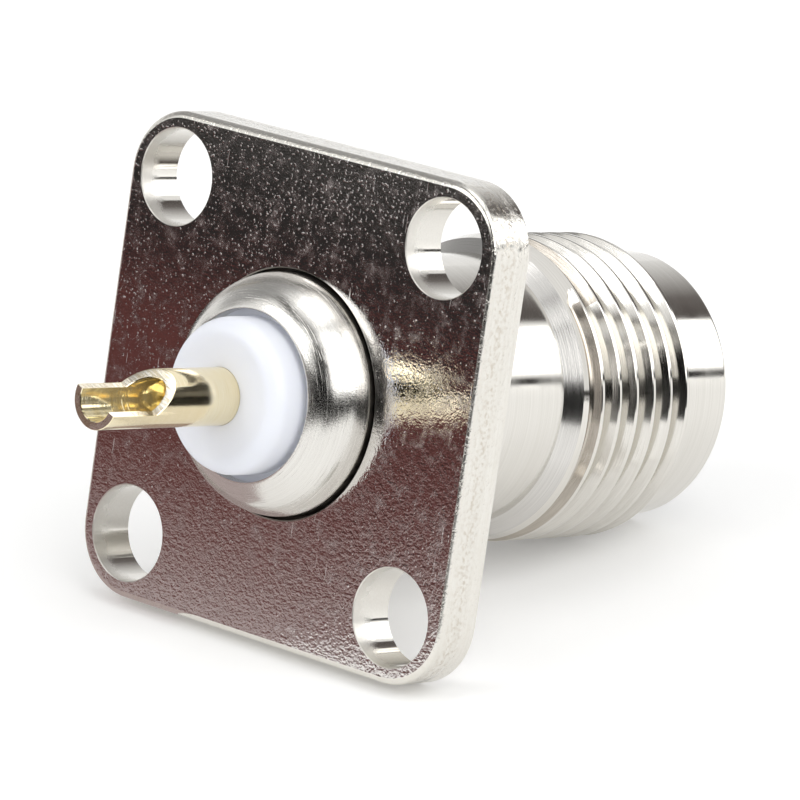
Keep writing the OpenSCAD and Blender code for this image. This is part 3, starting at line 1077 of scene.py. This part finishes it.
def soft_lamp(name, angle, distance, height, size, power):
    """A soft box that faces the connector; its size is its width and its height in millimetres."""
    lamp = bpy.data.lights.new(name, "AREA")
    lamp.shape, lamp.energy = "RECTANGLE", power
    lamp.size, lamp.size_y = size[0] * MM, size[1] * MM
    holder = bpy.data.objects.new(name, lamp)
    holder.location = on_table(angle, distance, height)
    holder.rotation_mode = "QUATERNION"
    holder.rotation_quaternion = (holder.location - TABLE_POINT).to_track_quat("Z", "Y")
    scene.collection.objects.link(holder)


soft_lamp("lamp_right", 86, 280, 250, (330, 330), 0.6)
soft_lamp("lamp_front", 152, 342, 93.5, (146, 134), 0.092)
soft_lamp("lamp_back", -22, 272, 258, (260, 152), 0.28)
soft_lamp("lamp_top", 180, 40, 370, (180, 180), 0.15)

# %% [markdown]
# ## Dark cards
# In a tent that is white all round, polished metal turns to plain white. But round the table stand dark
# things: the gap under the tent, its arch, the camera and its stand. They are simple curved cards here,
# with a colour at each point of their edge. Only reflections see them, so they draw the dark bands on
# the metal and leave the table's light as it is.

# %% How a card is made
CARD_STEPS = 24


def mixed(start, end, share):
    """A number between two."""
    return start + (end - start) * share


def card_paper(name):
    """A material that shows the colours of the card's points, whatever the light."""
    material = bpy.data.materials.new(name)
    material.use_nodes = True
    tree = material.node_tree
    tree.nodes.remove(tree.nodes["Principled BSDF"])
    colour = add(tree, "ShaderNodeVertexColor", layer_name="shade").outputs["Color"]
    glow = add(tree, "ShaderNodeEmission", {"Color": colour, "Strength": 1.0}).outputs[0]
    feed(tree.nodes["Material Output"], "Surface", glow)
    return material


def card_mesh(name, start, end, left, right, colours, last):
    """The curved sheet between its two ends, with a colour at each point."""
    rows = len(colours)
    points, faces = [], []
    for i in range(CARD_STEPS + 1):
        share = i / CARD_STEPS
        for (near, low), (far, high) in zip(left, right):
            distance, height = mixed(near, far, share), mixed(low, high, share)
            points.append(on_table(mixed(start, end, share), distance, height))
    for i in range(CARD_STEPS):
        for k in range(rows - 1):
            here, there = i * rows + k, (i + 1) * rows + k
            faces.append((here, there, there + 1, here + 1))
    mesh = bpy.data.meshes.new(name)
    mesh.from_pydata(points, [], faces)
    shade = mesh.color_attributes.new("shade", "FLOAT_COLOR", "POINT")
    for v, point in enumerate(shade.data):
        begun, ended = Vector(colours[v % rows]), Vector(last[v % rows])
        point.color = (*begun.lerp(ended, v // rows / CARD_STEPS), 1)
    return mesh


def card(name, start, end, left, right, colours, last=None):
    """A card from angle to angle, with the (distance, height) points and the colours of its two ends."""
    mesh = card_mesh(name, start, end, left, right, colours, last or colours)
    mesh.materials.append(card_paper(name))
    made = bpy.data.objects.new(name, mesh)
    scene.collection.objects.link(made)
    made.visible_camera = made.visible_diffuse = made.visible_shadow = made.visible_transmission = False
    return made


print("steps along a card:", CARD_STEPS)

# %% [markdown]
# ## Where the cards stand
# The plate looks to the left and back, so it mirrors the maroon skirt there and the mauve sheet that lies
# on the table before it. The boss and the barrel are round and mirror nearly everything: the camera and
# its drape, the gaps under the tent, and a seam in its cloth.

# %% Place the cards
HEM = 0.3
FAR, ARCH_FAR, DRAPE_FAR, SKIRT_FAR = 420, 405, 410, 160
black, soot = (0.006,) * 3, (0.03, 0.028, 0.027)
wine, maroon, dusk = (0.27, 0.16, 0.155), (0.135, 0.05, 0.046), (0.03, 0.027, 0.027)
mauve, dust = (0.38, 0.29, 0.285), (0.5, 0.42, 0.415)
ash, seam, crease = (0.1, 0.096, 0.093), (0.09, 0.078, 0.074), (0.18, 0.165, 0.16)
stand_edge, cloth = (0.3, 0.285, 0.28), (0.9,) * 3
wall_greys = [(shade,) * 3 for shade in (0.6, 0.42, 0.34, 0.55)]
band = [soot, black, black, soot]


def arc(distance, *lifts):
    """Points (distance, height) that rise about the connector, at angles above the table."""
    return [(distance * math.cos(math.radians(a)), distance * math.sin(math.radians(a))) for a in lifts]


def lying(*distances):
    """Points (distance, height) just above the table."""
    return [(distance, HEM) for distance in distances]


skirt = arc(SKIRT_FAR, 0, 2, 4.6, 6.1, 7.8, 10, 14)
sheet = lying(4, 22, 60, 160)
fold = arc(FAR, 4, 20, 36)
wall = arc(FAR, 18, 30, 48, 64)
gap_turn = arc(FAR, 0, 5, 11, 15)
stand_left, stand_right = arc(FAR, 0, 10, 22, 28), arc(FAR, 0, 10, 24, 31)
drape_left, drape_right = arc(DRAPE_FAR, 0, 18, 36, 56), arc(DRAPE_FAR, 0, 18, 36, 54)
cards = [
    card("maroon_skirt", -85, -31, skirt, skirt, [wine, maroon, maroon, dusk, soot, ash, ash]),
    card("mauve_sheet", -85, -21, sheet, sheet, [dust, dust, mauve, wine]),
    card("camera_stand", -20, 17, stand_left, stand_right, [stand_edge] * 4, band),
    card("camera_drape", 17, 49, drape_left, drape_right, band),
    card("tent_arch", -80, 32, arc(ARCH_FAR, 58, 62, 68), arc(ARCH_FAR, 59, 64, 70), [ash] * 3),
    card("gap_end", 49, 60, arc(FAR, 0, 6, 20, 25), gap_turn, band),
    card("right_gap", 60, 112, gap_turn, arc(FAR, 0, 3, 7, 12), band),
    card("table_end", 36, 116, lying(75, 150, FAR), lying(130, 220, FAR), [(0.3,) * 3, soot, black]),
    card("front_gap", 112, 200, arc(FAR, 0.5, 4), arc(FAR, 0.5, 3), [soot, soot]),
    card("tent_seam", 165, 180, fold, fold, [seam] * 3, [crease] * 3),
    card("tent_fold", 180, 211, fold, fold, [crease] * 3, [cloth] * 3),
    card("left_wall", -140, -66, wall, wall, wall_greys),
]
print("cards:", [c.name for c in cards])
